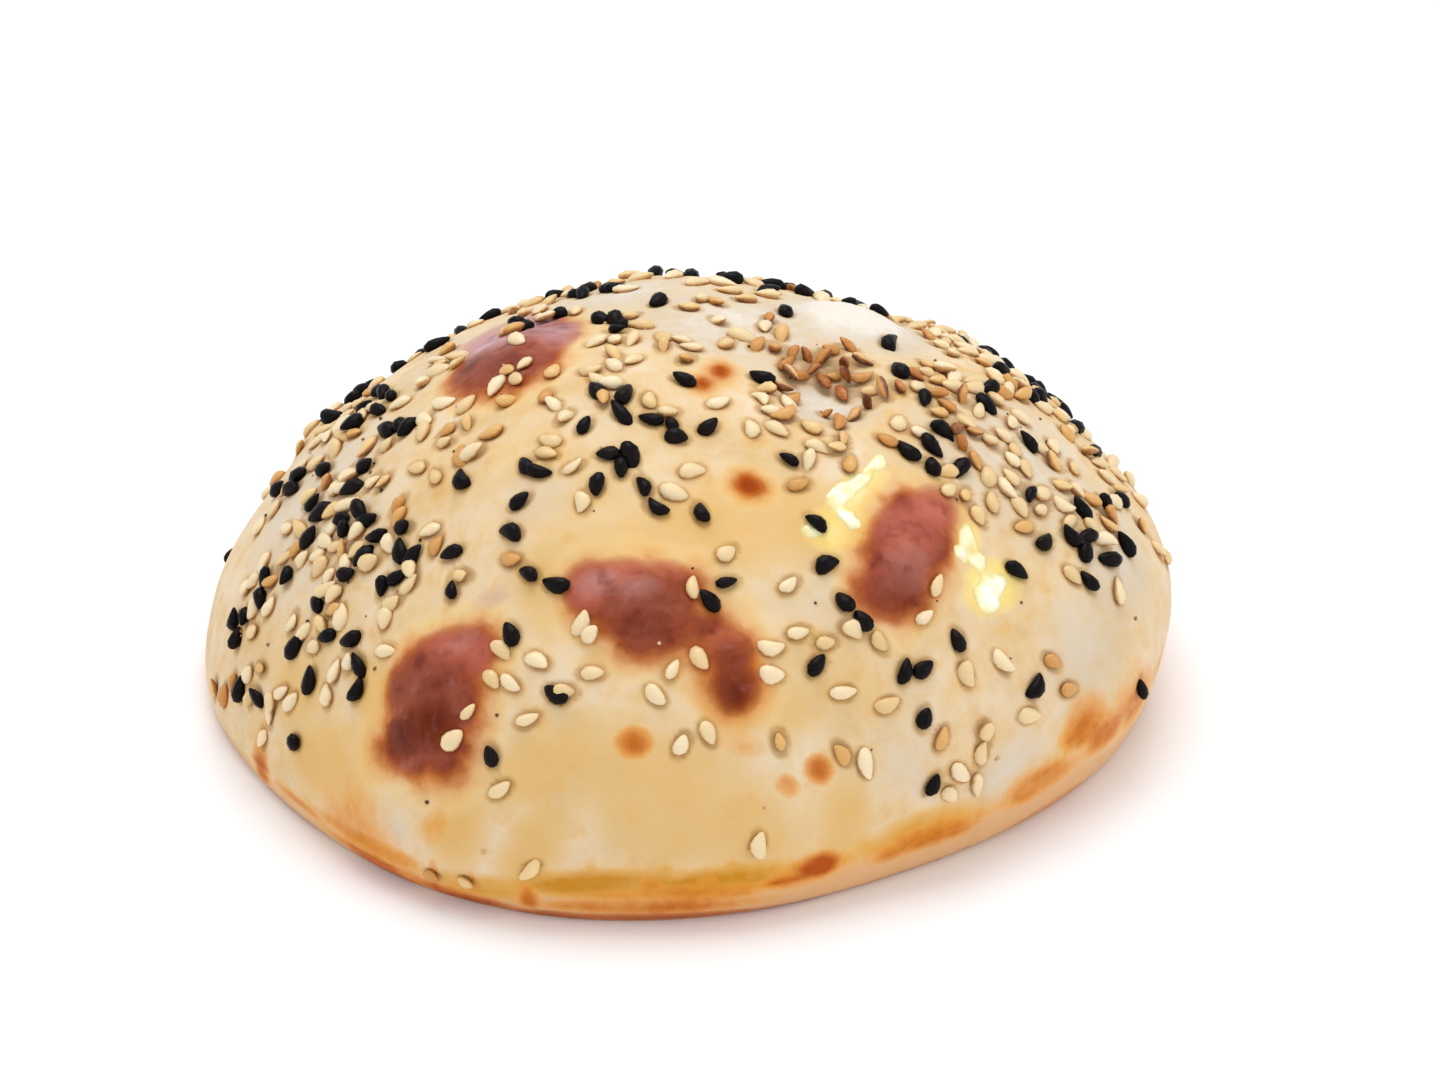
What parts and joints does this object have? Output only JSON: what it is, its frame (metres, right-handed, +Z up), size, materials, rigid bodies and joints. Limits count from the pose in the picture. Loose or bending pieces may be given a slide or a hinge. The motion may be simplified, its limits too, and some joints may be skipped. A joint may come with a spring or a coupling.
{
  "type": "meat and cheese pie",
  "caption": "Round shut filled bread, puffed into a low dome, with dark blisters and a scatter of white and black sesame baked into its crust.",
  "frame": {"origin": "on the table plane, under the middle of the bread's box", "axes": "+Z up from the flat underside, -Y towards the pictured side, +X to that side's right and along the longest extent"},
  "size_m": [0.1166, 0.1101, 0.0492],
  "materials": {
    "crust": "matte baked dough, cream to golden, with dark red-brown blisters and a toasted foot",
    "white_sesame": "cream hulled sesame, faintly oily, some of it toasted",
    "black_sesame": "near-black seed coat with a soft sheen",
    "melted_cheese": "thin greasy film of melted cheese"
  },
  "bodies": {
    "root": {"pie": "crust"}
  },
  "joints": []
}
